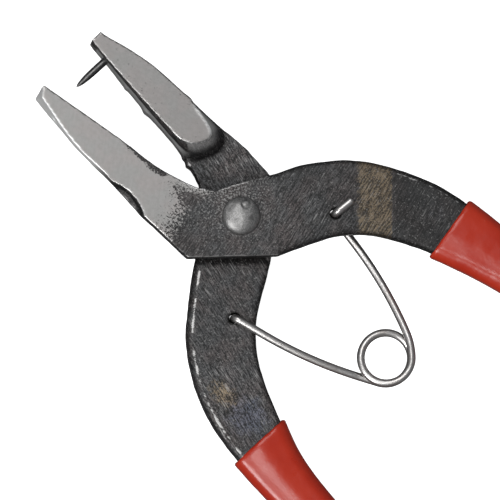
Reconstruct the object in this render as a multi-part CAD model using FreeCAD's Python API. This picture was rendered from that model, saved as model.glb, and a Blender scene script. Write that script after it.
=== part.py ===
import FreeCAD
import Part
import math
import os

# Snap setter pliers, in millimetres. The pivot axis is Z through the origin, the nose points to +X and
# z = 0 is the plane that the flat rivet foot rests on. The pliers stand open.
# Each lever has its own plan frame (s, t): s runs along its biting face from the pivot to the nose and t
# runs from that face into its own jaw, so that both frames fall together when the pliers are closed.

PLATE = 5.0                  # thickness of a lever at the lap and along its handle
LAP_GAP = 0.08               # running gap between flat faces that turn on one another
FOOT_HEIGHT = 1.3            # flat rivet head under the lower lever
REAR_Z = FOOT_HEIGHT + LAP_GAP
LAP_Z = REAR_Z + PLATE
FRONT_Z = LAP_Z + LAP_GAP
TOP_Z = FRONT_Z + PLATE
MIDDLE_Z = (LAP_Z + FRONT_Z) / 2
FLAT = 0.001                 # height within which an edge counts as level

BITE_OFFSET = 1.15           # distance of the closed biting line from the pivot
FRONT_ANGLE = 7.0            # direction of the upper lever's biting face
REAR_ANGLE = -9.0            # direction of the lower lever's biting face
BITE_GAP = 0.1               # half of the gap that is left between the closed biting faces

PIN_RADIUS = 2.6
PIN_CLEARANCE = 0.05
HEAD_RADIUS = 3.86
HEAD_HEIGHT = 1.7
FOOT_RADIUS = 3.9
FOOT_BEVEL = 0.4

WIRE_RADIUS = 0.8
HOLE_RADIUS = 1.0
HOLE_MOUTH = 1.3
HOLE_BEVEL = 0.35
FRONT_HOLE = (-13.6, -12.9)
REAR_HOLE = (-12.6, 15.6)
COIL_CENTRE = (-40.3, 1.3)
COIL_RADIUS = 5.05
COIL_START = 115.0           # direction in which the leg of the lower lever meets the coil
COIL_SWEEP = 470.0
COIL_PITCH = 1.9
COIL_CUT = 235.0             # turn at which the wire is parted into its two halves
COIL_CUT_GAP = 0.6           # half of the parting gap, in degrees
COIL_ARCS = 5                # arcs that make up each half of the coil
WIRE_LIFT = 0.2              # gap between a leg and the plate that it runs over
BEND_RADIUS = 0.95
HOOK_LENGTH = 4.2
HOOK_ANGLE = -99.0
# corners of the spring's legs from the coil outwards: x, y, rise over the coil's mid height, arc's setback
LOWER_LEG = [(-39.2, 7.39, -1.2, 1.0), (-28.94, 12.17, 0.3, 10.0)]
UPPER_LEG = [(-41.98, -4.16, 1.3, 2.4), (-30.12, -9.69, -0.2, 10.0)]

NEEDLE_RADIUS = 0.72
NEEDLE_LENGTH = 7.7          # length outside the jaw
NEEDLE_TAPER = ((0.35, 0.72), (0.85, 0.36), (1.0, 0.1))    # share of that length and radius along the point
NEEDLE_ROOT = 2.6
NEEDLE_FOOT = (40.75, -5.28)
NEEDLE_ANGLE = 84.5
NEEDLE_HOLE_RADIUS = 1.2
NEEDLE_HOLE_ANGLE = 99.0
NEEDLE_HOLE_S = 41.25
NEEDLE_HOLE_START = -1.0     # t at which the cutter of that hole starts
NEEDLE_HOLE_DEPTH = 8.0

SLEEVE_WALL = 1.0
HANDLE_ROUND = 1.1
SLEEVE_ROUND = 2.3
MOUTH_ROUND = 0.45
MOUTH_SPAN = 2.0             # a flat face shorter than this along the handle is the sleeve's mouth

# jaw outlines in (s, t), the same for both levers
JAW_OUTER = [(45.9, 2.3), (43.4, 3.2), (40.97, 4.18), (37.5, 5.4), (34.2, 6.32), (31.2, 6.86), (24.4, 8.0)]
PLATE_OUTER = [(46.2, 2.9), (43.4, 3.6), (40.97, 4.4), (37.5, 5.6), (34.2, 6.55), (31.2, 7.1), (24.4, 8.35)]
UNDER_OUTER = [(46.95, 2.4), (42.9, 3.5), (38.2, 4.72), (34.1, 5.7), (31.1, 6.3), (24.4, 7.45)]
JAW_HOLLOW = [(28.3, 0.0), (24.3, 0.2), (20.3, 0.38), (18.0, 0.3), (15.2, 0.0), (12.2, -0.43), (10.1, -0.88)]
BLOCK_END = [(24.4, 8.0), (21.3, 7.7), (18.2, 7.37), (16.9, 7.0), (16.0, 6.2), (16.05, 4.95), (16.75, 3.35),
                  (17.9, 2.15), (19.3, 1.33), (20.8, 1.05)]
BLOCK_FOOT_END = [(24.4, 8.3), (20.0, 8.8), (16.5, 9.3), (14.5, 9.0), (13.3, 7.7), (13.0, 4.75), (13.7, 2.6),
                  (15.1, 0.9), (17.0, 0.3), (20.8, 0.2)]
BLOCK_INNER = [(20.8, 1.05), (25.2, 0.7), (30.3, 0.42), (35.3, 0.2), (40.0, 0.0)]
BLOCK_FOOT_INNER = [(20.8, 0.2), (25.2, 0.12), (30.3, 0.06), (35.3, 0.02), (40.0, 0.0)]

# lap and handle outlines in (s, t), one set for each lever
LAP_NOSE = [(10.1, -0.88), (9.34, -1.39), (8.3, -1.71), (6.9, -2.5), (5.9, -3.9), (4.9, -5.3)]
FRONT_BACK = [(24.4, 8.0), (15.97, 9.94), (3.89, 11.67)]
REAR_BACK = [(24.4, 8.35), (19.5, 9.05), (15.6, 9.6), (14.5, 9.98), (9.6, 10.84), (1.5, 11.2)]
FRONT_OUTER = [(0.2, -10.95), (-1.5, -13.1), (-3.9, -16.3), (-7.3, -19.7), (-12.85, -23.75), (-17.1, -25.8),
               (-21.3, -27.2), (-25.5, -28.3), (-29.6, -28.95), (-34.7, -29.2), (-40.0, -29.0),
               (-50.0, -28.2), (-62.0, -27.0), (-80.0, -24.6), (-100.0, -20.9)]
REAR_OUTER = [(0.2, -9.6), (-2.2, -12.5), (-7.0, -17.6), (-11.8, -22.2), (-16.3, -25.0), (-20.7, -27.1),
              (-24.9, -28.4), (-31.2, -29.45), (-37.3, -29.6), (-44.0, -29.2), (-50.0, -28.6),
              (-62.0, -27.2), (-80.0, -24.7), (-100.0, -20.9)]
FRONT_INNER = [(-10.6, 0.9), (-12.7, -2.2), (-15.3, -5.85), (-17.8, -8.9), (-22.5, -12.6), (-26.9, -14.7),
               (-33.0, -16.6), (-38.0, -17.7), (-44.0, -18.8), (-50.0, -19.5), (-62.0, -19.4), (-80.0, -17.2),
               (-100.0, -13.7)]
REAR_INNER = [(-10.6, 0.6), (-12.7, -2.2), (-15.3, -5.85), (-17.8, -8.9), (-22.5, -12.8), (-26.9, -15.05),
              (-31.2, -16.6), (-38.0, -18.5), (-44.0, -19.9), (-50.0, -20.5), (-62.0, -19.9), (-80.0, -17.4),
              (-100.0, -13.7)]
END_CENTRE = (-114.3, -14.2)
END_WIDTH = 7.1
END_HEADING = 167.7
FRONT_MOUTH = (-35.4, -35.2)  # s of the sleeve's mouth at its outer and inner edge
REAR_MOUTH = (-37.3, -36.5)
FRONT_TIP = (47.15, 0.0)
REAR_TIP = (45.75, 0.0)
SCOOP = ((15.5, 10.1), (20.8, 7.65), (24.9, 7.95))
SCOOP_OUTSIDE = 14.0         # t beyond the back of the jaw
SCOOP_FLOOR = FRONT_Z + PLATE / 4
FRONT_SIDE = 1
REAR_SIDE = -1


def plan(side, s, t, z=0.0):
    """Point of a lever's own plan frame as a vector."""
    angle = math.radians(FRONT_ANGLE if side == FRONT_SIDE else REAR_ANGLE)
    across = BITE_OFFSET + side * (t + BITE_GAP)
    x = s * math.cos(angle) - across * math.sin(angle)
    y = s * math.sin(angle) + across * math.cos(angle)
    return FreeCAD.Vector(x, y, z)


def bar_end(spare):
    """Outer corner, tip and inner corner of the round end of a handle, grown by a wall."""
    angle = math.radians(END_HEADING)
    ahead = (math.cos(angle), math.sin(angle))
    half = END_WIDTH / 2 + spare
    s, t = END_CENTRE
    outer = (s - ahead[1] * half, t + ahead[0] * half)
    tip = (s + ahead[0] * half, t + ahead[1] * half)
    inner = (s + ahead[1] * half, t - ahead[0] * half)
    return outer, tip, inner


def bar_outline(side, outer, inner, spare):
    """Closed outline of a handle bar, with a straight line at its start."""
    ends = bar_end(spare)
    angle = math.radians(END_HEADING)
    ahead = plan(side, math.cos(angle), math.sin(angle)) - plan(side, 0, 0)
    edges = [arc_in(side, *ends)]
    for pairs, end in ((outer, ends[0]), (inner, ends[2])):
        points = [plan(side, s, t) for s, t in pairs + [end]]
        edges.append(spline(points, (points[1] - points[0], ahead)))
    return edges + lines_in(side, [inner[0], outer[0]])


def spline(points, heading=None):
    """Smooth edge through the points, with a given heading at both ends if one is wanted."""
    curve = Part.BSplineCurve()
    if heading:
        curve.interpolate(Points=points, InitialTangent=heading[0], FinalTangent=heading[1])
    else:
        curve.interpolate(Points=points)
    return curve.toShape()


def curve_in(side, pairs, z=0.0):
    """Smooth edge through (s, t) pairs of one lever's frame."""
    return spline([plan(side, s, t, z) for s, t in pairs])


def lines_in(side, pairs, z=0.0):
    """Straight edges through (s, t) pairs of one lever's frame."""
    corners = [plan(side, s, t, z) for s, t in pairs]
    return [Part.makeLine(a, b) for a, b in zip(corners, corners[1:])]


def prism(edges, height):
    """Solid over the closed outline."""
    face = Part.Face(Part.Wire(Part.__sortEdges__(edges)))
    if face.normalAt(0, 0).z < 0:
        face.reverse()
    return face.extrude(FreeCAD.Vector(0, 0, height))


def tube(edges, radius):
    """Round bar along a smooth chain of edges."""
    start = edges[0].valueAt(edges[0].FirstParameter)
    ring = Part.Wire(Part.makeCircle(radius, start, edges[0].tangentAt(edges[0].FirstParameter)))
    return Part.Wire(edges).makePipeShell([ring], True, False)


def blend_block(side, foot, face, foot_z, face_z):
    """Thick part of a jaw between the outline at its foot and the outline of its ground face."""
    rings = []
    for (tip, outer, end, inner), z in ((foot, foot_z), (face, face_z)):
        edges = lines_in(side, tip, z)
        edges.append(curve_in(side, outer, z))
        edges.append(curve_in(side, end, z))
        edges.append(curve_in(side, inner, z))
        rings.append(Part.Wire(edges))
    return Part.makeLoft(rings, True, True)


def arc_in(side, a, b, c):
    """Arc through three (s, t) pairs of one lever's frame."""
    return Part.Arc(plan(side, *a), plan(side, *b), plan(side, *c)).toShape()


def moved(edges, z):
    """Edges lifted to a height."""
    return [edge.translated(FreeCAD.Vector(0, 0, z)) for edge in edges]


def jaw_plate(side, tip, outer, back, nose, inner, bottom):
    """Flat layer of a lever from the nose to the line where the handle bar starts."""
    edges = lines_in(side, [JAW_HOLLOW[0], tip, outer[0]])
    edges.append(curve_in(side, outer))
    edges += lines_in(side, back + [inner[0]] + [nose[-1]])
    edges += lines_in(side, nose)
    edges.append(curve_in(side, JAW_HOLLOW))
    return prism(moved(edges, bottom), PLATE)


def handle_bar(side, outer, inner, bottom):
    """Handle bar with rounded long edges."""
    edges = bar_outline(side, outer, inner, 0.0)
    return rounded(prism(moved(edges, bottom), PLATE), HANDLE_ROUND)


def front_plate():
    """Upper lever without the thick part of its jaw."""
    nose = LAP_NOSE + FRONT_OUTER[:1]
    jaw = jaw_plate(FRONT_SIDE, FRONT_TIP, JAW_OUTER, FRONT_BACK, nose, FRONT_INNER, FRONT_Z)
    return jaw.fuse(handle_bar(FRONT_SIDE, FRONT_OUTER, FRONT_INNER, FRONT_Z)).removeSplitter()


def rear_plate():
    """Lower lever without the thick part of its jaw."""
    nose = LAP_NOSE + REAR_OUTER[:1]
    jaw = jaw_plate(REAR_SIDE, REAR_TIP, PLATE_OUTER, REAR_BACK, nose, REAR_INNER, REAR_Z)
    return jaw.fuse(handle_bar(REAR_SIDE, REAR_OUTER, REAR_INNER, REAR_Z)).removeSplitter()


def front_block():
    """Thick part of the upper jaw, under its plate."""
    foot = ([FRONT_TIP, JAW_OUTER[0]], JAW_OUTER, [JAW_OUTER[-1]] + BLOCK_FOOT_END[1:],
            BLOCK_FOOT_INNER + [FRONT_TIP])
    face = ([FRONT_TIP, UNDER_OUTER[0]], UNDER_OUTER, [UNDER_OUTER[-1]] + BLOCK_END[1:],
            BLOCK_INNER + [FRONT_TIP])
    return blend_block(FRONT_SIDE, foot, face, FRONT_Z, REAR_Z)


def rear_block():
    """Thick part of the lower jaw, on top of its plate."""
    foot = ([REAR_TIP, PLATE_OUTER[0]], PLATE_OUTER, [PLATE_OUTER[-1]] + BLOCK_FOOT_END[1:],
            BLOCK_FOOT_INNER + [REAR_TIP])
    face = ([REAR_TIP, JAW_OUTER[0]], JAW_OUTER, BLOCK_END, BLOCK_INNER + [REAR_TIP])
    return blend_block(REAR_SIDE, foot, face, LAP_Z, TOP_Z)


def rounded(solid, radius):
    """Prism with the level edges of its curved sides rounded."""
    edges = [edge for edge in solid.Edges
             if edge.BoundBox.ZLength < FLAT and edge.Curve.TypeId != "Part::GeomLine"]
    return solid.makeFillet(radius, edges)


def spring_hole(centre, bottom):
    """Cutter for a spring hole with bevelled mouths."""
    x, y = centre
    hole = Part.makeCylinder(HOLE_RADIUS, PLATE, FreeCAD.Vector(x, y, bottom))
    lower = Part.makeCone(HOLE_MOUTH, HOLE_RADIUS, HOLE_BEVEL, FreeCAD.Vector(x, y, bottom))
    mouth = FreeCAD.Vector(x, y, bottom + PLATE - HOLE_BEVEL)
    upper = Part.makeCone(HOLE_RADIUS, HOLE_MOUTH, HOLE_BEVEL, mouth)
    return hole.fuse([lower, upper])


def needle_axis():
    """Direction of the needle."""
    angle = math.radians(NEEDLE_ANGLE)
    return FreeCAD.Vector(math.cos(angle), math.sin(angle), 0)


def needle_hole():
    """Cutter for the hole in the upper jaw that takes the needle."""
    angle = math.radians(NEEDLE_HOLE_ANGLE)
    across = FreeCAD.Vector(math.cos(angle), math.sin(angle), 0)
    start = plan(FRONT_SIDE, NEEDLE_HOLE_S, NEEDLE_HOLE_START, MIDDLE_Z)
    return Part.makeCylinder(NEEDLE_HOLE_RADIUS, NEEDLE_HOLE_DEPTH, start, across)


def scoop():
    """Cutter for the forged hollow in the back of the upper jaw."""
    corners = [SCOOP[2], (SCOOP[2][0], SCOOP_OUTSIDE), (SCOOP[0][0], SCOOP_OUTSIDE), SCOOP[0]]
    edges = [arc_in(FRONT_SIDE, *SCOOP)] + lines_in(FRONT_SIDE, corners)
    return prism(moved(edges, SCOOP_FLOOR), PLATE)


def front_lever():
    """Upper lever, one forging."""
    lever = front_plate().fuse(front_block())
    lever = lever.cut(scoop())
    lever = lever.cut(Part.makeCylinder(PIN_RADIUS, PLATE, FreeCAD.Vector(0, 0, FRONT_Z)))
    lever = lever.cut(spring_hole(FRONT_HOLE, FRONT_Z))
    return lever.cut(needle_hole())


def rear_lever():
    """Lower lever, one forging."""
    lever = rear_plate().fuse(rear_block())
    lever = lever.cut(Part.makeCylinder(PIN_RADIUS + PIN_CLEARANCE, PLATE, FreeCAD.Vector(0, 0, REAR_Z)))
    lever = lever.cut(spring_hole(REAR_HOLE, REAR_Z))
    return lever.cut(needle_shank())


def needle_start():
    """Inner end of the needle's root."""
    return FreeCAD.Vector(*NEEDLE_FOOT, MIDDLE_Z) - needle_axis() * NEEDLE_ROOT


def needle_shank():
    """Round root of the needle inside the lower jaw."""
    return Part.makeCylinder(NEEDLE_RADIUS, NEEDLE_ROOT, needle_start(), needle_axis())


def piercing_needle():
    """Root, straight shank and long point."""
    profile = [(0, 0), (NEEDLE_RADIUS, 0)]
    profile += [(radius, NEEDLE_ROOT + NEEDLE_LENGTH * share) for share, radius in NEEDLE_TAPER]
    profile.append((0, NEEDLE_ROOT + NEEDLE_LENGTH))
    wire = Part.makePolygon([FreeCAD.Vector(r, 0, h) for r, h in profile + profile[:1]])
    solid = Part.Face(wire).revolve(FreeCAD.Vector(), FreeCAD.Vector(0, 0, 1), 360)
    turn = FreeCAD.Rotation(FreeCAD.Vector(0, 0, 1), needle_axis())
    return solid.transformed(FreeCAD.Placement(needle_start(), turn).Matrix)


def pivot_rivet():
    """Flat foot, shank and domed head."""
    ball = (HEAD_RADIUS ** 2 + HEAD_HEIGHT ** 2) / (2 * HEAD_HEIGHT)
    steps = [math.asin(HEAD_RADIUS / ball) * (1 - k / 2) for k in range(3)]
    centre = TOP_Z + HEAD_HEIGHT - ball
    dome = [FreeCAD.Vector(ball * math.sin(a), 0, centre + ball * math.cos(a)) for a in steps]
    foot = [(0, 0), (FOOT_RADIUS - FOOT_BEVEL, 0), (FOOT_RADIUS, FOOT_BEVEL), (FOOT_RADIUS, FOOT_HEIGHT),
            (PIN_RADIUS, FOOT_HEIGHT), (PIN_RADIUS, TOP_Z)]
    corners = [FreeCAD.Vector(r, 0, z) for r, z in foot] + [dome[0]]
    edges = [Part.makeLine(a, b) for a, b in zip(corners, corners[1:])]
    edges.append(Part.Arc(*dome).toShape())
    edges.append(Part.makeLine(dome[2], corners[0]))
    return Part.Face(Part.Wire(edges)).revolve(FreeCAD.Vector(), FreeCAD.Vector(0, 0, 1), 360)


def coil_point(turn, radius):
    """Point of the coil's helix, or outside it, at a turn given in degrees from its start."""
    angle = math.radians(COIL_START + turn)
    z = MIDDLE_Z + (turn - COIL_SWEEP / 2) / 360 * COIL_PITCH
    x, y = COIL_CENTRE
    return FreeCAD.Vector(x + radius * math.cos(angle), y + radius * math.sin(angle), z)


def coil_corners(first, last):
    """Corners of the polygon round the helix between two turns, each with its arc's setback."""
    step = (last - first) / COIL_ARCS
    outside = COIL_RADIUS / math.cos(math.radians(step / 2))
    corners = [coil_point(first + step * (k + 0.5), outside) for k in range(COIL_ARCS)]
    setback = corners[0].distanceToPoint(corners[1]) / 2
    return [(corner, setback) for corner in corners]


def tangent_arc(before, corner, after, setback):
    """Arc that rounds a corner between two straight runs."""
    back = (before - corner).normalize()
    ahead = (after - corner).normalize()
    half = back.getAngle(ahead) / 2
    inward = (back + ahead).normalize()
    middle = corner + inward * (setback / math.cos(half) - setback * math.tan(half))
    return Part.Arc(corner + back * setback, middle, corner + ahead * setback).toShape()


def wire_path(start, turns, end):
    """Straight runs joined by tangent arcs, through corners that each come with a setback."""
    corners = [start] + [corner for corner, _ in turns] + [end]
    edges = []
    reached = start
    for k, (corner, setback) in enumerate(turns):
        arc = tangent_arc(corners[k], corner, corners[k + 2], setback)
        if reached.distanceToPoint(arc.firstVertex().Point) > FLAT:
            edges.append(Part.makeLine(reached, arc.firstVertex().Point))
        edges.append(arc)
        reached = arc.lastVertex().Point
    return edges + [Part.makeLine(reached, end)]


def leg_corners(leg):
    """Corners of a leg as vectors, each with its setback."""
    return [(FreeCAD.Vector(x, y, MIDDLE_Z + rise), setback) for x, y, rise, setback in leg]


def spring_lower_half():
    """Wire end in the hole of the lower lever, leg and first part of the coil."""
    turn = COIL_CUT - COIL_CUT_GAP
    corner = FreeCAD.Vector(*REAR_HOLE, LAP_Z + WIRE_RADIUS + WIRE_LIFT)
    turns = coil_corners(turn, 0) + leg_corners(LOWER_LEG) + [(corner, BEND_RADIUS)]
    end = FreeCAD.Vector(*REAR_HOLE, REAR_Z + WIRE_RADIUS)
    return tube(wire_path(coil_point(turn, COIL_RADIUS), turns, end), WIRE_RADIUS)


def spring_upper_half():
    """Last part of the coil, leg, upright through the upper lever and hook on top."""
    turn = COIL_CUT + COIL_CUT_GAP
    corner = FreeCAD.Vector(*FRONT_HOLE, FRONT_Z - WIRE_RADIUS - WIRE_LIFT)
    crown = FreeCAD.Vector(*FRONT_HOLE, TOP_Z + WIRE_RADIUS + WIRE_LIFT)
    turns = coil_corners(turn, COIL_SWEEP) + leg_corners(UPPER_LEG)
    turns += [(corner, BEND_RADIUS), (crown, BEND_RADIUS)]
    angle = math.radians(HOOK_ANGLE)
    end = crown + FreeCAD.Vector(math.cos(angle), math.sin(angle), 0) * HOOK_LENGTH
    return tube(wire_path(coil_point(turn, COIL_RADIUS), turns, end), WIRE_RADIUS)


def mouth_level(pairs, s):
    """Straight-line reading of t at s in a list of (s, t) pairs."""
    for (s0, t0), (s1, t1) in zip(pairs, pairs[1:]):
        if s1 <= s <= s0:
            return t0 + (t1 - t0) * (s - s0) / (s1 - s0)
    return pairs[-1][1]


def grip_sleeve(side, outer, inner, mouth, bar_z, lever):
    """Dipped sleeve over a handle bar."""
    back = [(s, t - SLEEVE_WALL) for s, t in outer if s < mouth[0] - 1]
    front = [(s, t + SLEEVE_WALL) for s, t in inner if s < mouth[1] - 1]
    back.insert(0, (mouth[0], mouth_level(outer, mouth[0]) - SLEEVE_WALL))
    front.insert(0, (mouth[1], mouth_level(inner, mouth[1]) + SLEEVE_WALL))
    edges = bar_outline(side, back, front, SLEEVE_WALL)
    solid = prism(moved(edges, bar_z - SLEEVE_WALL), PLATE + 2 * SLEEVE_WALL)
    solid = rounded(solid, SLEEVE_ROUND)
    flats = [face for face in solid.Faces if face.Surface.TypeId == "Part::GeomPlane"]
    mouth_face = [face for face in flats if face.BoundBox.XLength < MOUTH_SPAN][0]
    return solid.makeFillet(MOUTH_ROUND, mouth_face.Edges).cut(lever)


def main():
    """Build every piece and write it."""
    front = front_lever()
    rear = rear_lever()
    pieces = {
        "front_lever": front,
        "rear_lever": rear,
        "pivot_rivet": pivot_rivet(),
        "piercing_needle": piercing_needle(),
        "spring_lower_half": spring_lower_half(),
        "spring_upper_half": spring_upper_half(),
        "front_grip_sleeve": grip_sleeve(FRONT_SIDE, FRONT_OUTER, FRONT_INNER, FRONT_MOUTH, FRONT_Z, front),
        "rear_grip_sleeve": grip_sleeve(REAR_SIDE, REAR_OUTER, REAR_INNER, REAR_MOUTH, REAR_Z, rear),
    }
    os.makedirs("parts", exist_ok=True)
    for name, shape in pieces.items():
        shape.exportStep("parts/" + name + ".step")


main()
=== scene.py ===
"""Looks of the snap setter pliers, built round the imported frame. Lengths are in millimetres unless noted."""
import math

import bpy
import numpy as np
from mathutils import Matrix, Vector, kdtree, noise


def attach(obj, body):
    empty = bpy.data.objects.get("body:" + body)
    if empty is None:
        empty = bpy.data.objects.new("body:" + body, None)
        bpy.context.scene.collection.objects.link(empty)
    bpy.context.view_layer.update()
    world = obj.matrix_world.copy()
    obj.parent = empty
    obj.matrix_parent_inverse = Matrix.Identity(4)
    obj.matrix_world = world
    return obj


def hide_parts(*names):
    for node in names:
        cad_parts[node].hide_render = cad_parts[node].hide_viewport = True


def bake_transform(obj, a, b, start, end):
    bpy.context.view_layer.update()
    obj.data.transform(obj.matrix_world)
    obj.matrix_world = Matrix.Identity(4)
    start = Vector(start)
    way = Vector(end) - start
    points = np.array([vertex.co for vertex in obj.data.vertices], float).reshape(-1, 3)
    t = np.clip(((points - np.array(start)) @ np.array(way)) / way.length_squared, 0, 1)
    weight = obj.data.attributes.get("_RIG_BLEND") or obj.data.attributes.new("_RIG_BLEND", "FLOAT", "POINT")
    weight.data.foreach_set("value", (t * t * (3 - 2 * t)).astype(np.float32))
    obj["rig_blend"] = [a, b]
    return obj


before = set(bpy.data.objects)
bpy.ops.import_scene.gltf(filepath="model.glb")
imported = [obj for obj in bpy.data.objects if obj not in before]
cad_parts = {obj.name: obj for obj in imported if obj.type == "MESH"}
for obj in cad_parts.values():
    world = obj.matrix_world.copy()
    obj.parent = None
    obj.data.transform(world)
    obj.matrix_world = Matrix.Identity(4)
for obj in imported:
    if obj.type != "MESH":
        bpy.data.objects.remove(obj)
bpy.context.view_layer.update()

MM = 0.001
TOP_Z = 11.46                # ground top of the jaws
FRONT_Z = 6.46               # underside of the upper lever
LAP_Z = 6.38                 # top of the lower lever's plate
REAR_Z = 1.38                # underside of the lower lever
BITE_OFFSET = 1.15           # how far beside the pivot the closed biting faces meet
BITE_GAP = 0.1               # half of the gap that stays between them
FRONT = {"angle": 7.0, "side": 1}
REAR = {"angle": -9.0, "side": -1}

# camera: the point that it looks at, the direction from there to it, and the photograph's upward direction
CAMERA_AIM = (-5.836, 3.412, 6.42)
CAMERA_WAY = (0.0005, 0.1017, 0.9948)
PHOTO_UP = (0.6670, -0.7451, 0.0)
LENS = 600.0
SENSOR = 36.0
FIELD = 99.4                 # width of the view at the aim
CLIP_END = 100.0             # in metres

# lights: compass direction and elevation in degrees, distance and size in metres, power in watts
LIGHTS = {
    "key": (-25, 66, 1.2, 0.7, 4.8),
    "side": (90, 47, 1.3, 0.5, 9.0),
    "overhead": (95, 76, 2.2, 0.55, 7.0),
}
SURROUND = (0.95, 0.97, 1.0, 1.0)
SURROUND_STRENGTH = 0.22
FLOOR_HALF = 30.0            # half of the floor's side in metres

LEVER_GRID = 0.3             # size of the even grid that the levers are rebuilt on
SLEEVE_GRID = 0.42
SLEEVE_MOUTH = 44.0          # distance from the pivot beyond which a sleeve covers the handle
SLEEVE_INSET = 0.1           # how far a lever draws back under its sleeve
CROWN = 0.5                  # fall of a sleeve's faces towards their edges
CROWN_SPAN = 6.5             # distance from a wall over which the face falls
CREASE = 0.2                 # step along a sleeve's inner edge

# marks on the levers; s runs along a biting face from the pivot, t from that face into the jaw
HOLLOW_S = (10.1, 12.2, 15.2, 18.0, 20.3, 24.3, 28.3)   # the upper jaw's inner edge behind its biting face
HOLLOW_T = (-0.88, -0.43, 0.0, 0.3, 0.38, 0.2, 0.0)
FLANK_START = 25.2           # s from which the upper jaw's flank is ground
BAND_WAY = (-0.7431, -0.6691, 0.0)                      # across the brown band on the upper handle
BAND_START = (21.5, 25.0)                               # where the band fades in and out
BAND_END = (29.6, 30.4)
FRONT_SCRATCHES = -81        # direction of the scratches on each lever in degrees
REAR_SCRATCHES = -16
BRUSH_TURN = 25              # from the scratches to the brushing of the ground faces
FRONT_HATCH = (-14, -9)
FRONT_BLUE = (-30, -27)
FRONT_SPECKLE = (3.0, -1.0)
BURRS = ((14.6, 0.7, 0.45), (16.2, 0.5, 0.2), (28.2, 0.8, 0.28), (34.3, 0.5, 0.2))    # s, width, height
LAP_EDGE = -7.84             # how far along PHOTO_UP the upper lever's straight lower edge lies
REAR_STAIN = (-21.0, 28.3)
REAR_BLUE = (-28, 28.5)
REAR_HATCH = (-24, 26)

RIVET_DOME = 3.86            # radius of the rivet's head
DOME_HEIGHT = 1.63
DOME_FOOT = 3.8              # its radius where it meets the upper lever
# outline of the rivet's foot, as radius and height
RIVET_FOOT = [(3.2, 0.0), (3.6, 0.08), (3.84, 0.3), (3.9, 0.6), (3.9, 1.22), (3.82, 1.3), (2.62, 1.3)]
RIVET_SHANK = 2.6
RIVET_SIDES = 72
RIVET_MARK = (0.9, -2.5)     # centre of the ring that the hammer left
MARK_RADIUS = 0.85
MARK_WIDTH = 0.24

NEEDLE_FOOT = (40.75, -5.28)
NEEDLE_ANGLE = 84.5
NEEDLE_RADIUS = 0.72
NEEDLE_FULL = 0.76           # radius just outside the jaw
NEEDLE_ROOT = 2.6
NEEDLE_LENGTH = 7.7
NEEDLE_STEPS = 18
NEEDLE_SIDES = 28

WIRE_RADIUS = 0.8
WIRE_SIDES = 20
WIRE_END = 0.88              # share of its radius that the wire keeps at its cut ends
WIRE_GRID = 0.3              # distance between the rings of the wire's mesh
COIL_CENTRE = (-40.3, 1.3)
COIL_RADIUS = 5.05
COIL_START = 115.0
COIL_SWEEP = 470.0
COIL_PITCH = 1.9
COIL_Z = 6.42
COIL_STEP = 6.0
CORNER_PARTS = 10            # parts of the arc that rounds a corner
REAR_HOLE = (-12.6, 15.6)
FRONT_HOLE = (-13.6, -12.9)
WIRE_LIFT = 0.2
BEND_RADIUS = 0.95
HOOK_LENGTH = 4.2
HOOK_ANGLE = -99.0
# corners of the legs: x, y, rise above the coil's middle, setback of the arc
LOWER_LEG = [(-39.2, 7.39, -1.2, 1.0), (-28.94, 12.17, 0.3, 10.0)]
UPPER_LEG = [(-41.98, -4.16, 1.3, 2.4), (-30.12, -9.69, -0.2, 10.0)]


# ---------------------------------------------------------------- node graphs

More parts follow.
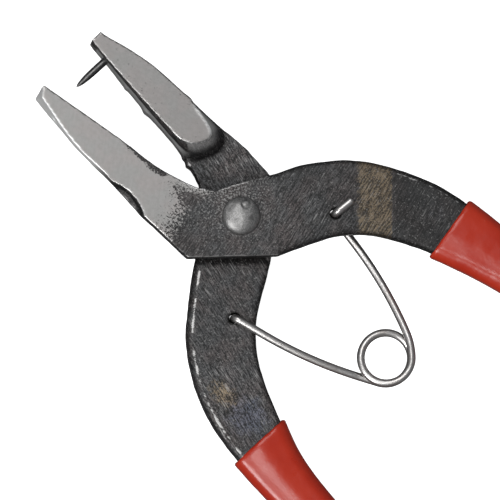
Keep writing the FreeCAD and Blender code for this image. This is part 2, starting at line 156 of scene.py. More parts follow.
class Graph:
    """A material's node tree, with short calls for the nodes used here."""

    def __init__(self, name):
        self.material = bpy.data.materials.new(name)
        self.material.use_nodes = True
        self.tree = self.material.node_tree
        self.shader = self.tree.nodes["Principled BSDF"]
        place = self.tree.nodes.new("ShaderNodeTexCoord").outputs["Object"]
        self.place = self.scaled(place, 1 / MM)

    def link(self, value, socket):
        """Puts a socket's output or a plain value on an input."""
        if isinstance(value, bpy.types.NodeSocket):
            self.tree.links.new(value, socket)
        else:
            socket.default_value = value

    def scaled(self, vector, factor):
        """A vector or colour times a number."""
        node = self.tree.nodes.new("ShaderNodeVectorMath")
        node.operation = "SCALE"
        self.link(vector, node.inputs[0])
        self.link(factor, node.inputs["Scale"])
        return node.outputs["Vector"]

    def math(self, operation, a, b):
        """Result of a named operation on two numbers."""
        node = self.tree.nodes.new("ShaderNodeMath")
        node.operation = operation
        self.link(a, node.inputs[0])
        self.link(b, node.inputs[1])
        return node.outputs[0]

    def add(self, a, b):
        """Number a plus number b."""
        return self.math("ADD", a, b)

    def times(self, a, b):
        """Number a times number b."""
        return self.math("MULTIPLY", a, b)

    def larger(self, a, b):
        """The larger of two numbers."""
        return self.math("MAXIMUM", a, b)

    def turned(self, degrees, stretch):
        """Coordinates turned about Z, then stretched."""
        node = self.tree.nodes.new("ShaderNodeMapping")
        node.vector_type = "TEXTURE"
        self.link(self.place, node.inputs["Vector"])
        node.inputs["Rotation"].default_value = (0, 0, math.radians(degrees))
        node.inputs["Scale"].default_value = stretch
        return node.outputs["Vector"]

    def noise(self, size, detail=2.0, place=None, rough=0.5):
        """Noise with features of about a size, from 0 to 1."""
        node = self.tree.nodes.new("ShaderNodeTexNoise")
        self.link(self.place if place is None else place, node.inputs["Vector"])
        node.inputs["Scale"].default_value = 1 / size
        node.inputs["Detail"].default_value = detail
        node.inputs["Roughness"].default_value = rough
        return node.outputs[0]

    def step(self, value, low, high):
        """Smooth step from 0 at low to 1 at high."""
        node = self.tree.nodes.new("ShaderNodeMapRange")
        node.interpolation_type = "SMOOTHSTEP"
        self.link(value, node.inputs["Value"])
        node.inputs["From Min"].default_value = low
        node.inputs["From Max"].default_value = high
        return node.outputs["Result"]

    def span(self, value, low, high):
        """A value from 0 to 1 put between low and high."""
        node = self.tree.nodes.new("ShaderNodeMapRange")
        self.link(value, node.inputs["Value"])
        node.inputs["To Min"].default_value = low
        node.inputs["To Max"].default_value = high
        return node.outputs["Result"]

    def mix(self, share, a, b):
        """Colour a turning into colour b."""
        node = self.tree.nodes.new("ShaderNodeMix")
        node.data_type = "RGBA"
        self.link(share, node.inputs["Factor"])
        self.link(colour(a), node.inputs["A"])
        self.link(colour(b), node.inputs["B"])
        return node.outputs["Result"]

    def blend(self, share, a, b):
        """Number a turning into number b."""
        node = self.tree.nodes.new("ShaderNodeMix")
        self.link(share, node.inputs[0])
        self.link(a, node.inputs[2])
        self.link(b, node.inputs[3])
        return node.outputs[0]

    def attribute(self, name):
        """A value that the mesh keeps for each vertex."""
        node = self.tree.nodes.new("ShaderNodeAttribute")
        node.attribute_name = name
        return node.outputs["Fac"]

    def bump(self, height, strength, distance):
        """Bump of a height map, its distance in millimetres."""
        node = self.tree.nodes.new("ShaderNodeBump")
        node.inputs["Strength"].default_value = strength
        node.inputs["Distance"].default_value = distance * MM
        self.link(height, node.inputs["Height"])
        self.link(node.outputs["Normal"], self.shader.inputs["Normal"])

    def surface(self, **values):
        """Sets the shader's inputs, named with underscores for blanks."""
        for name, value in values.items():
            socket = name.replace("_", " ").title().replace("Ior", "IOR")
            self.link(colour(value), self.shader.inputs[socket])
        return self.material


def colour(value):
    """An RGB triple as RGBA, anything else as it is."""
    return (*value, 1.0) if isinstance(value, tuple) and len(value) == 3 else value


# ---------------------------------------------------------------- materials

def scale_texture(g, scratch_angle, fine):
    """Close hatching of the forged scale, speckled where the mesh says so."""
    hatch = g.noise(1.0, 2.0, g.turned(scratch_angle, (1.9, 0.3, 1.6)))
    texture = g.add(g.times(hatch, 0.55), g.times(fine, 0.45))
    return g.blend(g.attribute("speckle"), texture, g.noise(0.32, 3.0))


def scale_colour(g, weave):
    """Dark scale with brown and blue stains, and with bright grains where it is speckled."""
    scale = g.mix(g.step(g.noise(5.0, 3.0), 0.35, 0.65), (0.021, 0.0213, 0.022), (0.0275, 0.0235, 0.023))
    stain = g.step(g.add(g.attribute("stain"), g.times(g.noise(0.7, 3.0), 0.9)), 0.75, 1.25)
    scale = g.mix(g.times(stain, 0.6), scale, (0.098, 0.071, 0.039))
    blue = g.step(g.add(g.attribute("blue"), g.noise(1.5)), 0.8, 1.4)
    scale = g.mix(g.times(blue, 0.4), scale, (0.032, 0.038, 0.058))
    hatched = g.attribute("hatched")
    depth = g.blend(weave, g.blend(hatched, 0.5, 0.15), g.blend(hatched, 1.8, 3.8))
    # painted shade and light: the stored brightness also darkens the roundings, the scoop, the pad's foot and
    # the band under the upper lever, and lightens the pad's walls
    scale = g.scaled(scale, g.times(depth, g.attribute("tone")))
    speckle = g.attribute("speckle")
    grain = g.step(g.add(g.noise(0.38, 3.0), g.times(speckle, 0.09)), 0.60, 0.68)
    return g.mix(g.times(grain, g.span(speckle, 0.4, 0.8)), scale, (0.24, 0.238, 0.232))


def bare_share(g, scratch_angle):
    """Where scratches and worn edges bare the metal."""
    hatched = g.attribute("hatched")
    strokes = g.noise(1.0, 1.0, g.turned(scratch_angle, (2.4, 0.22, 2.4)))
    strokes = g.step(g.add(strokes, g.span(hatched, -0.03, 0.03)), 0.60, 0.68)
    patches = g.step(g.noise(6.0, 2.0), 0.45, 0.62)
    scratch = g.times(strokes, g.times(patches, hatched))
    worn = g.add(g.attribute("edge"), g.times(g.noise(0.8, 3.0), 0.3))
    return g.larger(g.step(worn, 0.50, 0.76), g.times(scratch, 0.75))


def ground_silver(g, brush):
    """Colour of the ground faces, brighter along their edges."""
    tint = g.mix(g.step(g.noise(4.0, 3.0), 0.38, 0.62), (0.262, 0.250, 0.244), (0.254, 0.251, 0.245))
    lines = g.step(g.add(g.times(brush, 0.4), g.times(g.noise(0.7, 4.0), 0.6)), 0.38, 0.62)
    silver = g.mix(lines, g.scaled(tint, 0.92), tint)
    silver = g.mix(g.step(g.attribute("edge"), 0.3, 0.7), silver, (0.92, 0.91, 0.90))
    return g.scaled(silver, g.attribute("sheen"))


def lever_steel(name, scratch_angle, sooty=False):
    """Dark forged scale with scratches, stains and worn edges, and ground faces where the mesh says so."""
    g = Graph(name)
    fine = g.noise(0.3, 3.0)
    texture = scale_texture(g, scratch_angle, fine)
    weave = g.step(texture, 0.41, 0.62)
    bare = bare_share(g, scratch_angle)
    base = g.mix(bare, scale_colour(g, weave), (0.34, 0.335, 0.33))
    # ground faces, with a pitted border
    pits = g.times(g.add(g.noise(0.42, 4.0, rough=0.7), -0.5), 6.5)
    ground = g.step(g.add(g.attribute("ground"), pits), -0.25, 0.25)
    brush = g.noise(1.0, 4.0, g.turned(scratch_angle + BRUSH_TURN, (2.4, 0.4, 2.4)))
    base = g.mix(ground, base, ground_silver(g, brush))
    # painted highlight: faces turned to the side light are painted near white and made less metallic
    pale = g.times(g.attribute("pale"), g.span(fine, 0.9, 1.1))
    base = g.mix(pale, base, (0.97, 0.97, 0.96))
    shine = g.times(g.larger(ground, bare), g.span(pale, 1.0, 0.2))
    rough = g.blend(ground, g.blend(bare, g.span(weave, 0.6, 0.42), 0.34), g.span(brush, 0.38, 0.46))
    height = g.add(g.times(texture, 1.1), g.times(g.noise(1.4, 3.0), 0.6))
    g.bump(g.blend(ground, height, g.times(brush, 0.1)), 0.6, 0.1)
    # painted shade also lowers the specular level
    if sooty:
        g.surface(specular_ior_level=g.span(g.attribute("soot"), 0.5, 0.1))
    return g.surface(base_color=base, metallic=g.span(shine, 0.3, 1.0), roughness=rough)


def rivet_steel():
    """Hammered soft steel."""
    g = Graph("rivet_steel")
    dents = g.noise(1.1, 2.0)
    fine = g.noise(0.25, 3.0)
    base = g.mix(g.step(fine, 0.35, 0.7), (0.19, 0.188, 0.185), (0.33, 0.327, 0.322))
    base = g.mix(g.step(dents, 0.58, 0.78), base, (0.14, 0.138, 0.137))
    g.bump(g.add(dents, g.times(fine, 0.4)), 0.5, 0.1)
    return g.surface(base_color=base, metallic=0.9, roughness=g.span(fine, 0.36, 0.54))


def wire_steel():
    """Drawn spring wire."""
    g = Graph("spring_wire")
    fine = g.noise(0.5, 3.0)
    cloud = g.noise(5.0, 2.0)
    base = g.mix(g.step(fine, 0.3, 0.7), (0.46, 0.444, 0.432), (0.55, 0.537, 0.526))
    base = g.mix(g.step(cloud, 0.5, 0.75), base, (0.42, 0.385, 0.365))
    g.bump(g.noise(0.3, 2.0), 0.12, 0.03)
    return g.surface(base_color=base, metallic=1.0, roughness=g.span(fine, 0.30, 0.38))


def needle_steel():
    """Dark hardened steel with a bright tip."""
    g = Graph("needle_steel")
    fine = g.noise(0.4, 3.0)
    base = g.mix(g.step(fine, 0.35, 0.7), (0.08, 0.08, 0.08), (0.17, 0.168, 0.165))
    base = g.mix(g.step(g.attribute("tip"), 0.4, 1.0), base, (0.75, 0.75, 0.74))
    g.bump(g.noise(0.5, 2.0), 0.2, 0.03)
    return g.surface(base_color=base, metallic=1.0, roughness=g.span(fine, 0.28, 0.4))


def dipped_vinyl():
    """Glossy dipped vinyl with a faint unevenness and a few specks."""
    g = Graph("dipped_vinyl")
    base = g.mix(g.step(g.noise(7.0, 3.0), 0.3, 0.7), (0.38, 0.017, 0.004), (0.43, 0.025, 0.007))
    specks = g.times(g.step(g.noise(1.0, 3.0), 0.70, 0.76), 0.4)
    base = g.mix(specks, base, (0.58, 0.16, 0.10))
    waves = g.add(g.noise(4.0, 2.0), g.times(g.noise(0.9, 2.0), 0.12))
    g.bump(waves, 0.35, 0.35)
    return g.surface(base_color=base, roughness=g.span(g.noise(2.0, 2.0), 0.24, 0.36),
                     specular_ior_level=0.4, coat_weight=0.2, coat_roughness=0.15)


def floor_paper():
    """White paper; the pliers see it dimmer than the camera does, so their undersides keep their shade."""
    g = Graph("floor_paper")
    seen = g.tree.nodes.new("ShaderNodeLightPath").outputs["Is Camera Ray"]
    base = g.mix(g.noise(40.0, 2.0), (0.93, 0.93, 0.93), (0.95, 0.95, 0.95))
    base = g.mix(seen, (0.12, 0.12, 0.12), base)
    return g.surface(base_color=base, roughness=0.9, emission_color=(1.0, 1.0, 1.0),
                     emission_strength=g.blend(seen, 0.0, 0.9))


# ---------------------------------------------------------------- meshes

def new_object(name, mesh, body, slot, material, *nodes):
    """Adds a piece that stands for CAD nodes and rides on their body."""
    obj = bpy.data.objects.new(name, mesh)
    bpy.context.scene.collection.objects.link(obj)
    mesh.materials.clear()
    mesh.materials.append(material)
    mesh.polygons.foreach_set("use_smooth", [True] * len(mesh.polygons))
    if body:
        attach(obj, body)
    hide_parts(*nodes)
    return obj


def even_grid(node, size):
    """Copy of a CAD node's mesh on an even grid."""
    obj = bpy.data.objects.new("grid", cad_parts[node].data.copy())
    bpy.context.scene.collection.objects.link(obj)
    remesh = obj.modifiers.new("grid", "REMESH")
    remesh.mode = "VOXEL"
    remesh.voxel_size = size * MM
    graph = bpy.context.evaluated_depsgraph_get()
    mesh = bpy.data.meshes.new_from_object(obj.evaluated_get(graph))
    bpy.data.objects.remove(obj)
    return mesh


def points_of(mesh, what="co"):
    """Vertex positions in millimetres, or vertex normals."""
    values = np.empty(len(mesh.vertices) * 3)
    mesh.vertices.foreach_get(what, values)
    return values.reshape(-1, 3) * (1 / MM if what == "co" else 1)


def put_points(mesh, points):
    """Writes vertex positions given in millimetres."""
    mesh.vertices.foreach_set("co", (points * MM).ravel())
    mesh.update()


def edges_of(mesh):
    """Vertex pairs of the edges."""
    pairs = np.empty(len(mesh.edges) * 2, int)
    mesh.edges.foreach_get("vertices", pairs)
    return pairs.reshape(-1, 2)


def neighbour_mean(pairs, values):
    """Mean of each vertex's neighbours."""
    a, b = pairs[:, 0], pairs[:, 1]
    count = np.bincount(pairs.ravel(), minlength=len(values))
    flat = values.reshape(len(values), -1)
    total = [np.bincount(a, flat[b, k], len(flat)) + np.bincount(b, flat[a, k], len(flat))
             for k in range(flat.shape[1])]
    return (np.array(total) / np.maximum(count, 1)).T.reshape(values.shape)


def relax(pairs, points, rounds):
    """Softens the steps that the grid leaves, without shrinking."""
    for _ in range(rounds):
        points = points + 0.5 * (neighbour_mean(pairs, points) - points)
        points = points - 0.51 * (neighbour_mean(pairs, points) - points)
    return points


def roughness_field(points, size):
    """Smooth random value for each point."""
    return np.array([noise.noise(Vector(p) / size) for p in points])


def store(mesh, name, values):
    """Keeps a value for each vertex for the material."""
    layer = mesh.attributes.new(name, "FLOAT", "POINT")
    layer.data.foreach_set("value", np.asarray(values, np.float32))


def smooth(values, low, high):
    """Smooth step from 0 at low to 1 at high."""
    share = np.clip((values - low) / (high - low), 0, 1)
    return share * share * (3 - 2 * share)


def bell(values, centre, width):
    """Value of 1 at a centre that falls to 0 on both sides."""
    return np.exp(-((values - centre) / width) ** 2)


def blob(points, centre, radii):
    """Value of 1 at a centre that falls to 0 with distance in plan."""
    away = ((points[:, 0] - centre[0]) / radii[0]) ** 2 + ((points[:, 1] - centre[1]) / radii[1]) ** 2
    return np.exp(-away)


def wall_distance(points, wall):
    """Distance in plan from each vertex to the nearest one of a wall."""
    tree = kdtree.KDTree(int(wall.sum()))
    for k, point in enumerate(points[wall]):
        tree.insert((point[0], point[1], 0), k)
    tree.balance()
    return np.array([tree.find((x, y, 0))[2] for x, y in points[:, :2]])


def heading(degrees):
    """Level direction at an angle from +X."""
    angle = math.radians(degrees)
    return Vector((math.cos(angle), math.sin(angle), 0))


def ring_ways(across, other, sides):
    """Directions round a ring."""
    turns = [2 * math.pi * k / sides for k in range(sides)]
    return [across * math.cos(turn) + other * math.sin(turn) for turn in turns]


def tube(name, vertices, rows, sides):
    """Mesh of rings of vertices, closed at both ends."""
    faces = []
    for row in range(rows - 1):
        for k in range(sides):
            a, b = row * sides + k, row * sides + (k + 1) % sides
            faces.append((a, b, b + sides, a + sides))
    faces.append(tuple(reversed(range(sides))))
    faces.append(tuple(range((rows - 1) * sides, rows * sides)))
    mesh = bpy.data.meshes.new(name)
    mesh.from_pydata([vertex * MM for vertex in vertices], [], faces)
    mesh.update()
    return mesh


# ---------------------------------------------------------------- levers

def lever_axes(lever):
    """Directions along a lever's biting face and from it into the jaw."""
    angle = math.radians(lever["angle"])
    along = np.array((math.cos(angle), math.sin(angle), 0))
    into = np.array((-math.sin(angle), math.cos(angle), 0)) * lever["side"]
    return along, into


def lever_place(lever, points):
    """Distance along the biting face, and from it into the lever's own jaw."""
    along, into = lever_axes(lever)
    return points @ along, points @ into - BITE_OFFSET * lever["side"] - BITE_GAP


class Forging:
    """A lever's mesh with soft edges and slight waves, and for each vertex what its marks depend on.

    s and t are its place along the biting face and from there into the jaw. facing and up are how much its
    normal points into the jaw and upwards.
    """

    def __init__(self, node, lever):
        self.mesh = even_grid(node, LEVER_GRID)
        self.pairs = edges_of(self.mesh)
        points = relax(self.pairs, points_of(self.mesh), 2)
        put_points(self.mesh, points)
        self.normals = points_of(self.mesh, "normal")
        s, _ = lever_place(lever, points)
        flat = (points[:, 2] > TOP_Z - 0.4) & (s > 8)
        waves = roughness_field(points, 3.2) * 0.09 + roughness_field(points, 1.1) * 0.035
        hidden = smooth(-s, SLEEVE_MOUTH - 4, SLEEVE_MOUTH)
        shift = waves * ~flat * (1 - hidden) - SLEEVE_INSET * hidden
        self.points = points + self.normals * shift[:, None]
        self.s, self.t = lever_place(lever, self.points)
        _, self.into = lever_axes(lever)
        self.facing = self.normals @ self.into
        self.up = self.normals[:, 2]

    def keep(self, **values):
        """Stores values for the material."""
        for name, value in values.items():
            store(self.mesh, name, value)

    def distance(self, wall):
        """Distance in plan to the nearest vertex of a wall."""
        return wall_distance(self.points, wall)

    def shaded_rim(self):
        """Painted shade: lower brightness on the rounding between the lever's top and its walls."""
        return 1 - 0.65 * (1 - smooth(self.up, 0.55, 0.97))

    def edge_wear(self):
        """How sharply convex the surface is."""
        inward = neighbour_mean(self.pairs, self.points) - self.points
        bulge = -(inward * self.normals).sum(1) / LEVER_GRID
        for _ in range(2):
            bulge = 0.5 * bulge + 0.5 * neighbour_mean(self.pairs, bulge)
        return np.clip(bulge * 4.5, 0, 1)


def front_flank(bar):
    """How far inside the upper jaw's ground flank each vertex lies."""
    return np.minimum((bar.facing - 0.45) * 9, (bar.s - FLANK_START) * 3)


def front_ground(bar):
    """How far inside a ground face each vertex of the upper lever lies."""
    s, t = bar.s, bar.t
    border = (s - 9.7 - 3.4 * bell(t, 1.9, 1.6) + 1.6 * bell(t, -0.6, 1.3)) * 0.29
    from_edge = t - np.interp(s, HOLLOW_S, HOLLOW_T)
    inner = (from_edge - 0.45) * 2 - 1.2 * blob(np.stack((s, from_edge), 1), (18.5, 1.0), (5.0, 1.4))
    near = smooth(s, 15.0, 17.5) * (1 - smooth(s, 26.0, 28.0))
    border = np.minimum(border, np.clip(inner, -3, 3) * near + 3 * (1 - near))
    top = np.where(bar.points[:, 2] > TOP_Z - 0.3, border, -4)
    bite = np.minimum((-bar.facing - 0.5) * 9, (s - 27) * 3)
    end = np.minimum((bar.normals[:, 0] - 0.6) * 9, s - 44)
    return np.clip(np.maximum.reduce([top, front_flank(bar), bite, end]), -4, 4)


def front_pale(bar):
    """Painted highlight: the upper jaw's flank and end, painted near white where they face the side light."""
    end = smooth(bar.normals[:, 0], 0.3, 0.6) * (bar.s > 44)
    pale = np.maximum(smooth(bar.facing, 0.12, 0.36), end) * smooth(bar.s, 25.0, 31)
    return 0.5 * pale + 0.5 * neighbour_mean(bar.pairs, pale)


def front_tone(bar, band):
    """Brightness of the upper lever's scale, lower away from the rivet, with painted shade on its roundings
    and in the scoop behind the flank.
    """
    # painted shade in the scoop behind the flank
    scoop = (bar.facing > 0.3) * smooth(bar.s, 13.0, 14.0) * (1 - smooth(bar.s, 25.0, 25.4))
    from_pivot = np.hypot(bar.points[:, 0], bar.points[:, 1])
    tone = 1.3 - 0.44 * smooth(from_pivot, 7, 15) - 0.48 * smooth(band, 29.6, 31)
    return tone * bar.shaded_rim() * (1 - 0.6 * scoop)


def front_edges(bar, band):
    """Wear of the upper lever: its sharp edges, and lines along the lap's nose and the handle."""
    wall = (np.abs(bar.up) < 0.5) & (bar.facing < -0.3)
    nose = bell(bar.distance(wall & (bar.s > 3) & (bar.s < 13)), 0.25, 0.15) * 0.6
    worn = bell(bar.distance(wall & (bar.s < 3)), 0.8, 0.22) * smooth(band, 24, 30)
    worn *= np.clip(0.42 + 0.6 * roughness_field(bar.points, 0.9), 0, 1)
    lines = np.maximum(nose, worn) * (bar.up > 0.8)
    beside = bar.distance((front_flank(bar) > 0) & (bar.points[:, 2] > TOP_Z - 3))
    wear = bar.edge_wear() * np.maximum(smooth(beside, 0.4, 0.9), 1 - smooth(bar.s, 24, 26))
    return np.maximum(wear, lines)


def front_lever():
    """Upper lever: silver jaw with a mottled border, dark handle with a brown band."""
    bar = Forging("front_lever", FRONT)
    put_points(bar.mesh, bar.points)
    band = bar.points @ np.array(BAND_WAY)
    bar.keep(ground=front_ground(bar),
             pale=front_pale(bar),
             sheen=np.ones(len(bar.points)),
             tone=front_tone(bar, band),
             hatched=0.3 + 0.3 * blob(bar.points, FRONT_HATCH, (9, 9)) * (bar.up > 0.5),
             edge=front_edges(bar, band),
             stain=smooth(band, *BAND_START) * (1 - smooth(band, *BAND_END)),
             blue=blob(bar.points, FRONT_BLUE, (6, 6)) * 0.4,
             speckle=blob(bar.points, FRONT_SPECKLE, (7, 8)))
    return new_object("front_lever_forging", bar.mesh, "upper", "forged_steel",
                      lever_steel("front_steel", FRONT_SCRATCHES), "front_lever")


def pad_face(bar):
    """How far inside the ground top of the lower jaw's pad each vertex lies."""
    return np.minimum((bar.points[:, 2] - (TOP_Z - 0.3)) * 4, (bar.s - 12) * 3)


def pad_climb(bar):
    """Height from the lap's top at 0 to the pad's top at 1."""
    return np.clip((bar.points[:, 2] - LAP_Z) / (TOP_Z - LAP_Z), 0, 1)


def on_pad(bar):
    """Where the lower jaw stands above the lap."""
    return (bar.points[:, 2] > LAP_Z + 0.6) & (bar.s > 8)


def outer_heel(bar):
    """Share that is 1 on the outer side of the pad's heel."""
    return smooth(bar.t, 5.2, 6.6) * smooth(bar.s, 15.8, 17.2)


def from_hole(bar):
    """Distance in plan from the spring's hole."""
    return np.hypot(bar.points[:, 0] - REAR_HOLE[0], bar.points[:, 1] - REAR_HOLE[1])


def rear_ground(bar):
    """How far inside a ground face each vertex of the lower lever lies."""
    below_lap = (LAP_Z - 0.4 - bar.points[:, 2]) * 4
    bite = np.minimum.reduce([(-bar.facing - 0.4) * 9, (bar.s - 12.5) * 1.5, below_lap])
    end = np.minimum((bar.normals[:, 0] - 0.6) * 9, (bar.s - 43) * 3)
    return np.clip(np.maximum.reduce([pad_face(bar), bite, end]), -4, 4)


def rear_pale(bar):
    """Painted highlight on the low strip of the bite, on the pad's heel and in the bright arc along the heel's
    upper edge.
    """
    z, face, climb, outer = bar.points[:, 2], pad_face(bar), pad_climb(bar), outer_heel(bar)
    strip = (bar.facing < -0.25) & (bar.up < 0.6) & (bar.s < 44)
    strip = 0.42 * strip * (1 - smooth(climb, 0.25, 0.4)) * smooth(bar.s, 15.5, 18.5)
    heel = on_pad(bar) & (face < 0) & (bar.facing > -0.8) & (bar.s < 22)
    heel = heel * (0.2 * smooth(climb, 0.3, 0.9) + 0.22 * outer * smooth(climb, 0.1, 0.5))
    slope = on_pad(bar) & (z < TOP_Z - 0.35) & (z > TOP_Z - 1.0)
    arc = bell(bar.distance(slope), 0.2, 0.32) * (face > 0) * outer * (1 - smooth(bar.s, 21, 24))
    return np.maximum.reduce([strip, heel, 0.9 * arc])


def rear_soot(bar):
    """Painted shadow on the lower lever just under the upper lever's edge, and painted shade round the
    spring's hole.
    """
    # painted shadow in a band under the upper lever's straight lower edge
    below = LAP_EDGE - bar.points @ np.array(PHOTO_UP)
    below = np.maximum(below, 0) + 0.25 * roughness_field(bar.points, 1.2)
    at_lap = (1 - smooth(below, 1.0, 2.0)) * (bar.t < 0) * (bar.s < 3)
    # painted shade round the spring's hole, joined with the shadow band
    return np.maximum(at_lap, 0.6 * (1 - smooth(from_hole(bar), 1.0, 2.0)))


def rear_tone(bar, soot):
    """Brightness of the lower lever's scale: painted light rising up the pad's walls, painted shadow at their
    foot, and painted shade on the roundings and under the upper lever.
    """
    z, climb = bar.points[:, 2], pad_climb(bar)
    tone = (1 + 0.15 * smooth(-bar.s, 4, 20)) * bar.shaded_rim() * (1 - 0.8 * soot)
    # painted light and shade: the pad's walls dark at their foot and light towards their top
    tone = np.where(on_pad(bar), 0.4 + 2.0 * smooth(climb, 0.35, 0.85), tone)
    # painted shadow along the foot of the pad's walls
    foot = bar.distance((np.abs(bar.up) < 0.6) & on_pad(bar) & (climb < 0.3))
    shade = 0.75 * (1 - 0.7 * outer_heel(bar)) * bell(foot, 0, 1.3)
    at_foot = (bar.s > 8) & (z < LAP_Z + 0.6) & (z > LAP_Z - 0.6)
    return np.where(at_foot, tone * (1 - shade), tone)


def rear_edges(bar, soot):
    """Wear of the lower lever: its sharp edges, and lines round the pad and along the handle."""
    rim = bar.distance((np.abs(bar.up) < 0.6) & on_pad(bar) & (pad_climb(bar) > 0.8))
    burr_line = 0.75 * bell(rim, 0, 0.24) * (pad_face(bar) > 0) * (1 - smooth(bar.s, 21, 25))
    wall = (np.abs(bar.up) < 0.5) & (bar.facing < -0.3) & (bar.s < 6) & (from_hole(bar) > 2)
    worn = bell(bar.distance(wall), 1.05, 0.28) * (bar.up > 0.8) * smooth(-bar.t, 5, 8)
    uneven = 0.8 * roughness_field(bar.points, 1.0) + 0.5 * roughness_field(bar.points, 6.0)
    worn *= np.clip(0.66 + uneven, 0, 1)
    return np.maximum.reduce([bar.edge_wear() * (1 - soot), burr_line, worn])


def rear_lever():
    """Lower lever: raised ground pad on its jaw, dark neck and handle."""
    bar = Forging("rear_lever", REAR)
    low = (bar.points[:, 2] < LAP_Z + 0.3) & (bar.facing < -0.2)
    burr = sum(height * bell(bar.s, centre, width) for centre, width, height in BURRS)
    bar.points = bar.points - bar.into * (burr * low)[:, None]
    put_points(bar.mesh, bar.points)
    soot = rear_soot(bar)
    close = 0.3 + 0.45 * smooth(bar.s, 2, 8) + 0.6 * blob(bar.points, REAR_HATCH, (6, 6))
    bar.keep(ground=rear_ground(bar),
             pale=rear_pale(bar),
             sheen=1 - 0.12 * (pad_face(bar) > 0),
             soot=soot,
             tone=rear_tone(bar, soot),
             hatched=0.2 + close * smooth(bar.up, 0.3, 0.8),
             edge=rear_edges(bar, soot),
             stain=blob(bar.points, REAR_STAIN, (4.6, 2.8)) * 0.72,
             blue=blob(bar.points, REAR_BLUE, (5, 5)),
             speckle=0.2 * smooth(-bar.s, 4, 20) * (1 - blob(bar.points, REAR_HATCH, (8, 8))))
    return new_object("rear_lever_forging", bar.mesh, "lower", "forged_steel",
                      lever_steel("rear_steel", REAR_SCRATCHES, sooty=True), "rear_lever")


# ---------------------------------------------------------------- sleeves, rivet and needle

def sleeve(node, name, body, lever, material):
    """Dipped sleeve: crowned top, uneven skin."""
    mesh = even_grid(node, SLEEVE_GRID)
    pairs = edges_of(mesh)
    points = relax(pairs, points_of(mesh), 4)
    put_points(mesh, points)
    normals = points_of(mesh, "normal")
    waves = roughness_field(points, 9.0) * 0.12 + roughness_field(points, 3.0) * 0.05
    points = points + normals * waves[:, None]
    _, into = lever_axes(lever)
    side = (np.abs(normals[:, 2]) < 0.35) & (np.abs(normals @ into) > 0.5)
    from_wall = wall_distance(points, side)
    inner = wall_distance(points, side & (normals @ into > 0))
    drop = CROWN * (1 - smooth(from_wall, 0.0, CROWN_SPAN)) + CREASE * (1 - smooth(inner, 1.2, 2.0))
    for _ in range(3):
        drop = neighbour_mean(pairs, drop)
    height = points[:, 2] - (points[:, 2].max() + points[:, 2].min()) / 2
    points[:, 2] -= np.sign(height) * np.minimum(drop, np.abs(height) * 0.3)
    put_points(mesh, points)
    return new_object(name, mesh, body, "dipped_vinyl", material, node)


def lathe(profile, start, along, sides, bumps=None):
    """Turned piece along a direction from (radius, distance) pairs, closed at both ends."""
    along = Vector(along).normalized()
    across = along.orthogonal().normalized()
    ways = ring_ways(across, along.cross(across), sides)
    vertices = []
    for radius, distance in profile:
        for way in ways:
            point = Vector(start) + along * distance + way * radius
            vertices.append(point + (bumps(point, way, distance) if bumps else Vector()))
    return tube("lathe", vertices, len(profile), sides)


def hammer_dents(point, way, height):
    """How far the hammer moved a point of the rivet."""
    if height < TOP_Z:
        return way * (0.05 * noise.noise(point * 0.7)) if 0.2 < height < 1.25 else Vector()
    lump = min(noise.noise(point * 0.45) * 0.22 + noise.noise(point * 1.3) * 0.04, 0.0)
    groove = bell((point.xy - Vector(RIVET_MARK)).length, MARK_RADIUS, MARK_WIDTH)
    return Vector((0, 0, lump - 0.02 - 0.2 * groove)) + way * (0.06 * noise.noise(point * 0.6) - 0.02)


def rivet():
    """Hammered rivet: flat foot, shank and dented dome."""
    turns = [math.radians(degrees) for degrees in range(2, 89, 5)]
    dome = [(RIVET_DOME * math.cos(turn), TOP_Z + 0.04 + DOME_HEIGHT * math.sin(turn) ** 0.9)
            for turn in turns]
    shank = [(RIVET_SHANK, 4.0), (RIVET_SHANK, TOP_Z), (DOME_FOOT, TOP_Z)]
    mesh = lathe(RIVET_FOOT + shank + dome, (0, 0, 0), (0, 0, 1), RIVET_SIDES, hammer_dents)
    return new_object("pivot_rivet_hammered", mesh, "upper", "rivet_steel", rivet_steel(), "pivot_rivet")


def needle():
    """Long-pointed needle, standing out of the lower jaw."""
    along = heading(NEEDLE_ANGLE)
    start = Vector((*NEEDLE_FOOT, COIL_Z)) - along * NEEDLE_ROOT
    profile = [(NEEDLE_RADIUS, 0.0), (NEEDLE_RADIUS, NEEDLE_ROOT)]
    for k in range(1, NEEDLE_STEPS + 1):
        share = k / NEEDLE_STEPS
        radius = NEEDLE_FULL * (1 - share ** 4) ** 0.6
        profile.append((max(radius, 0.05), NEEDLE_ROOT + NEEDLE_LENGTH * share))
    mesh = lathe(profile, start, along, NEEDLE_SIDES)
    reach = (points_of(mesh) - np.array(start)) @ np.array(along) - NEEDLE_ROOT
    store(mesh, "tip", smooth(reach, NEEDLE_LENGTH - 0.8, NEEDLE_LENGTH))
    return new_object("piercing_needle_ground", mesh, "lower", "needle_steel", needle_steel(),
                      "piercing_needle")


# ---------------------------------------------------------------- spring

def corner_arc(before, corner, after, setback, parts):
    """Points of the arc that rounds a corner."""
    back = (before - corner).normalized()
    ahead = (after - corner).normalized()
    half = back.angle(ahead) / 2
    inward = (back + ahead).normalized()
    radius = setback * math.tan(half)
    centre = corner + inward * (setback / math.cos(half))
    side = (ahead - back).normalized()
    swing = math.pi / 2 - half
    turns = [swing * (2 * k / parts - 1) for k in range(parts + 1)]
    return [centre - inward * radius * math.cos(a) + side * radius * math.sin(a) for a in turns]


def leg_points(start, turns, end):
    """Points along straight runs that tangent arcs join."""
    corners = [start] + [corner for corner, _ in turns] + [end]
    points = [start]
    for k, (corner, setback) in enumerate(turns):
        points += corner_arc(corners[k], corner, corners[k + 2], setback, CORNER_PARTS)
    return points + [end]


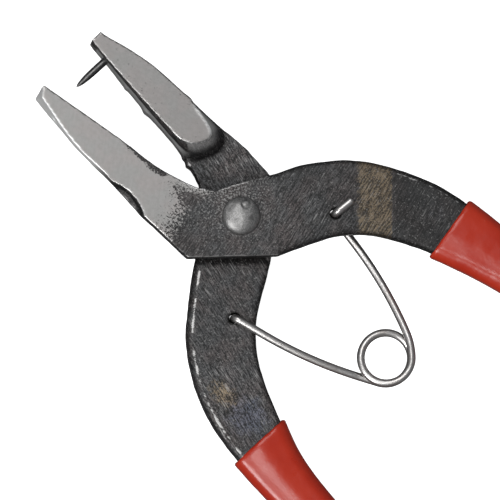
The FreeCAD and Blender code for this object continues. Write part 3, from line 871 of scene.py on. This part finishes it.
def coil_point(turn):
    """Point of the coil at a turn in degrees."""
    angle = math.radians(COIL_START + turn)
    z = COIL_Z + (turn - COIL_SWEEP / 2) / 360 * COIL_PITCH
    x, y = COIL_CENTRE
    return Vector((x + COIL_RADIUS * math.cos(angle), y + COIL_RADIUS * math.sin(angle), z))


def leg_turns(leg):
    """Corners of a leg, each with its setback."""
    return [(Vector((x, y, COIL_Z + rise)), setback) for x, y, rise, setback in leg]


def spring_line():
    """Points along the wire's centre, and where each stands along the coil from 0 to 1."""
    low = Vector((*REAR_HOLE, LAP_Z + WIRE_RADIUS + WIRE_LIFT))
    foot = Vector((*REAR_HOLE, REAR_Z + WIRE_RADIUS))
    high = Vector((*FRONT_HOLE, FRONT_Z - WIRE_RADIUS - WIRE_LIFT))
    crown = Vector((*FRONT_HOLE, TOP_Z + WIRE_RADIUS + WIRE_LIFT))
    hook = crown + heading(HOOK_ANGLE) * HOOK_LENGTH
    first = leg_points(coil_point(0), leg_turns(LOWER_LEG) + [(low, BEND_RADIUS)], foot)[::-1]
    count = round(COIL_SWEEP / COIL_STEP)
    coil = [coil_point(COIL_SWEEP * k / count) for k in range(1, count)]
    last_turns = leg_turns(UPPER_LEG) + [(high, BEND_RADIUS), (crown, BEND_RADIUS)]
    last = leg_points(coil_point(COIL_SWEEP), last_turns, hook)
    shares = [0.0] * len(first) + [k / count for k in range(1, count)] + [1.0] * len(last)
    return first + coil + last, shares


def spaced(points, shares, gap):
    """Points spread along a line at an even gap, with their shares."""
    line = np.array(points)
    reach = np.concatenate(([0], np.cumsum(np.linalg.norm(np.diff(line, axis=0), axis=1))))
    fresh = np.concatenate(([True], np.diff(reach) > 1e-6))
    line, reach, shares = line[fresh], reach[fresh], np.array(shares)[fresh]
    at = np.linspace(0, reach[-1], round(reach[-1] / gap))
    return np.array([np.interp(at, reach, line[:, k]) for k in range(3)]).T, np.interp(at, reach, shares)


def wire_mesh(line):
    """Round wire along a line, slightly thinner at its cut ends."""
    ways = np.gradient(line, axis=0)
    ways /= np.linalg.norm(ways, axis=1)[:, None]
    side = Vector(ways[0]).orthogonal().normalized()
    vertices = []
    for row, (point, way) in enumerate(zip(line, ways)):
        way = Vector(way)
        side = (side - way * side.dot(way)).normalized()
        radius = WIRE_RADIUS * (WIRE_END if row in (0, len(line) - 1) else 1.0)
        vertices += [Vector(point) + out * radius for out in ring_ways(side, way.cross(side), WIRE_SIDES)]
    return tube("spring", vertices, len(line), WIRE_SIDES)


def spring():
    """The whole spring as one wire that bends in its coil."""
    line, shares = spaced(*spring_line(), WIRE_GRID)
    mesh = wire_mesh(line)
    obj = new_object("spring_wire_coil", mesh, None, "spring_wire", wire_steel(),
                     "spring_lower_half", "spring_upper_half")
    start, end = coil_point(0) * MM, coil_point(COIL_SWEEP) * MM
    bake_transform(obj, "spring_leg_lower", "spring_leg_upper", start=start, end=end)
    weights = np.repeat(shares, WIRE_SIDES)
    mesh.attributes["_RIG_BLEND"].data.foreach_set("value", weights.astype(np.float32))
    return obj


# ---------------------------------------------------------------- studio

def floor():
    """Wide white floor under the rivet's foot."""
    mesh = bpy.data.meshes.new("floor")
    corners = [(-1, -1), (1, -1), (1, 1), (-1, 1)]
    mesh.from_pydata([(x * FLOOR_HALF, y * FLOOR_HALF, 0) for x, y in corners], [], [(0, 1, 2, 3)])
    obj = bpy.data.objects.new("floor", mesh)
    mesh.materials.append(floor_paper())
    bpy.context.scene.collection.objects.link(obj)


def area_light(name, toward, elevation, distance, size, power):
    """Soft light over the pliers; toward is its compass direction."""
    light = bpy.data.lights.new(name, "AREA")
    light.shape = "DISK"
    light.size = size
    light.energy = power
    obj = bpy.data.objects.new(name, light)
    turn, rise = math.radians(toward), math.radians(elevation)
    way = Vector((math.cos(rise) * math.cos(turn), math.cos(rise) * math.sin(turn), math.sin(rise)))
    obj.location = Vector(CAMERA_AIM) * MM + way * distance
    obj.rotation_euler = way.to_track_quat("Z", "Y").to_euler()
    bpy.context.scene.collection.objects.link(obj)


def studio():
    """Key, side and overhead lights, and a whitish surround."""
    for name, values in LIGHTS.items():
        area_light(name, *values)
    world = bpy.data.worlds.new("surround")
    world.use_nodes = True
    background = world.node_tree.nodes["Background"]
    background.inputs["Color"].default_value = SURROUND
    background.inputs["Strength"].default_value = SURROUND_STRENGTH
    bpy.context.scene.world = world
    bpy.context.scene.view_settings.view_transform = "Standard"


def camera():
    """Long lens over the joint, tilted as the photograph is."""
    data = bpy.data.cameras.new("camera")
    data.lens = LENS
    data.sensor_width = SENSOR
    data.clip_end = CLIP_END
    obj = bpy.data.objects.new("camera", data)
    way = Vector(CAMERA_WAY).normalized()
    up = Vector(PHOTO_UP)
    up = (up - way * up.dot(way)).normalized()
    right = up.cross(way)
    place = Vector(CAMERA_AIM) * MM + way * (FIELD * MM * LENS / SENSOR)
    obj.matrix_world = Matrix(((right.x, up.x, way.x, place.x), (right.y, up.y, way.y, place.y),
                               (right.z, up.z, way.z, place.z), (0, 0, 0, 1)))
    bpy.context.scene.collection.objects.link(obj)
    bpy.context.scene.camera = obj


camera()
studio()
floor()
front_lever()
rear_lever()
rivet()
needle()
vinyl = dipped_vinyl()
sleeve("front_grip_sleeve", "front_sleeve_dipped", "upper", FRONT, vinyl)
sleeve("rear_grip_sleeve", "rear_sleeve_dipped", "lower", REAR, vinyl)
spring()
